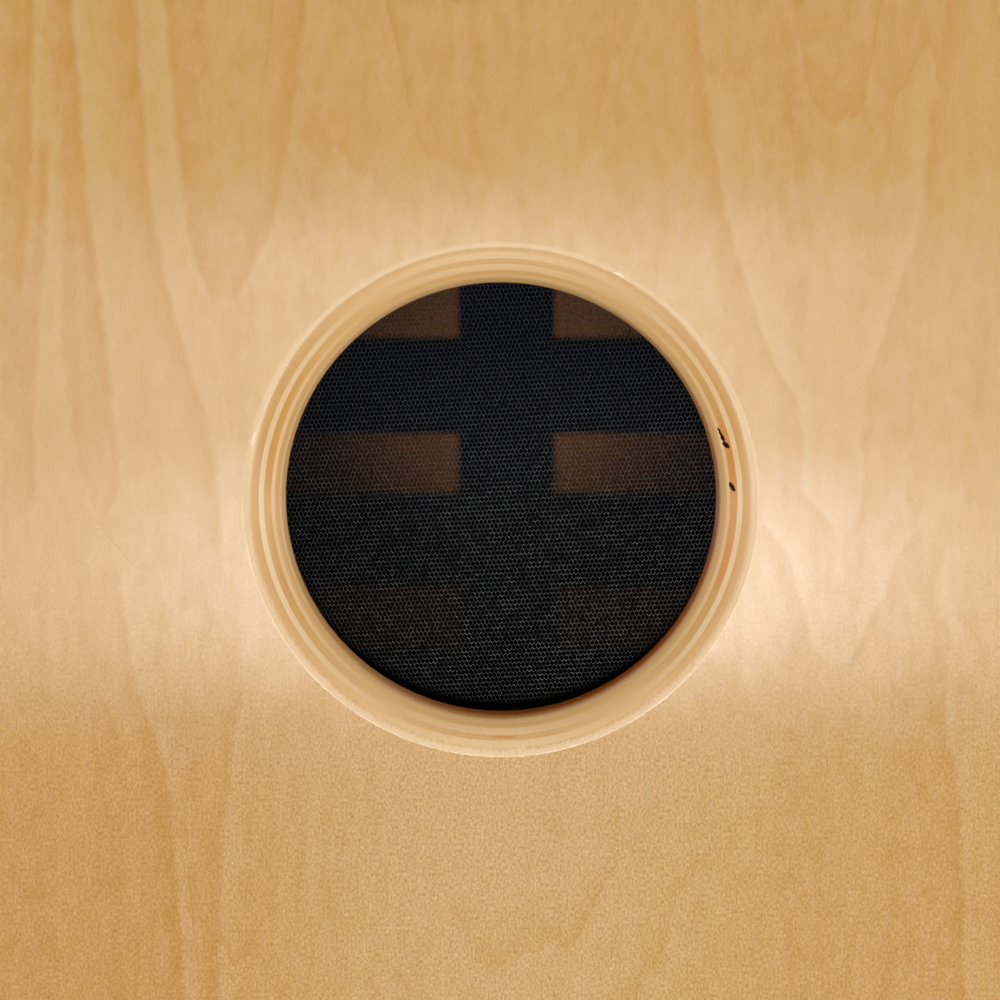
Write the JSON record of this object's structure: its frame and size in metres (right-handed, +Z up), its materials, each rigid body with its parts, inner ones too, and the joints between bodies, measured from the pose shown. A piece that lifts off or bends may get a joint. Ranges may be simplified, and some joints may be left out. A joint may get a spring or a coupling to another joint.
{
  "type": "cajon",
  "caption": "Plywood box drum to sit on and play by hand, with a thin screwed playing face, a round netted sound hole with a rounded edge in the rear panel, inner snares and rubber feet.",
  "frame": {"origin": "on the floor, under the middle of the box", "axes": "+Z up along the tallest side, +Y out of the playing face, -Y out of the sound hole"},
  "size_m": [0.3, 0.3, 0.48],
  "materials": {
    "birch_plywood": "clear satin lacquer",
    "front_plywood": "clear satin lacquer",
    "raw_pine": "bare",
    "black_net": "knitted net",
    "black_felt": "felt",
    "zinc_steel": "zinc plated",
    "snare_wire": "bright",
    "foot_rubber": "matt"
  },
  "bodies": {
    "root": {"back_panel": "birch_plywood", "front_plate": "front_plywood", "left_side": "birch_plywood", "right_side": "birch_plywood", "top_panel": "birch_plywood", "bottom_panel": "birch_plywood", "front_batten_left": "raw_pine", "front_batten_right": "raw_pine", "front_batten_top": "raw_pine", "front_batten_bottom": "raw_pine", "glue_strip_left": "raw_pine", "glue_strip_right": "raw_pine", "glue_strip_top": "raw_pine", "glue_strip_bottom": "raw_pine", "screen": "black_net", "screen_ring": "birch_plywood", "screen_ring_screws": "zinc_steel", "front_screws": "zinc_steel", "damper_upright": "black_felt", "damper_low_left": "black_felt", "damper_low_right": "black_felt", "damper_middle_left": "black_felt", "damper_middle_right": "black_felt", "damper_high_left": "black_felt", "damper_high_right": "black_felt", "snare_bar": "raw_pine", "snare_clamp_left": "zinc_steel", "snare_clamp_right": "zinc_steel", "snare_wires_left": "snare_wire", "snare_wires_right": "snare_wire", "snare_clamp_screws": "zinc_steel", "foot_front_left": "foot_rubber", "foot_front_right": "foot_rubber", "foot_rear_left": "foot_rubber", "foot_rear_right": "foot_rubber", "foot_washers": "zinc_steel", "foot_screws": "zinc_steel"}
  },
  "joints": []
}
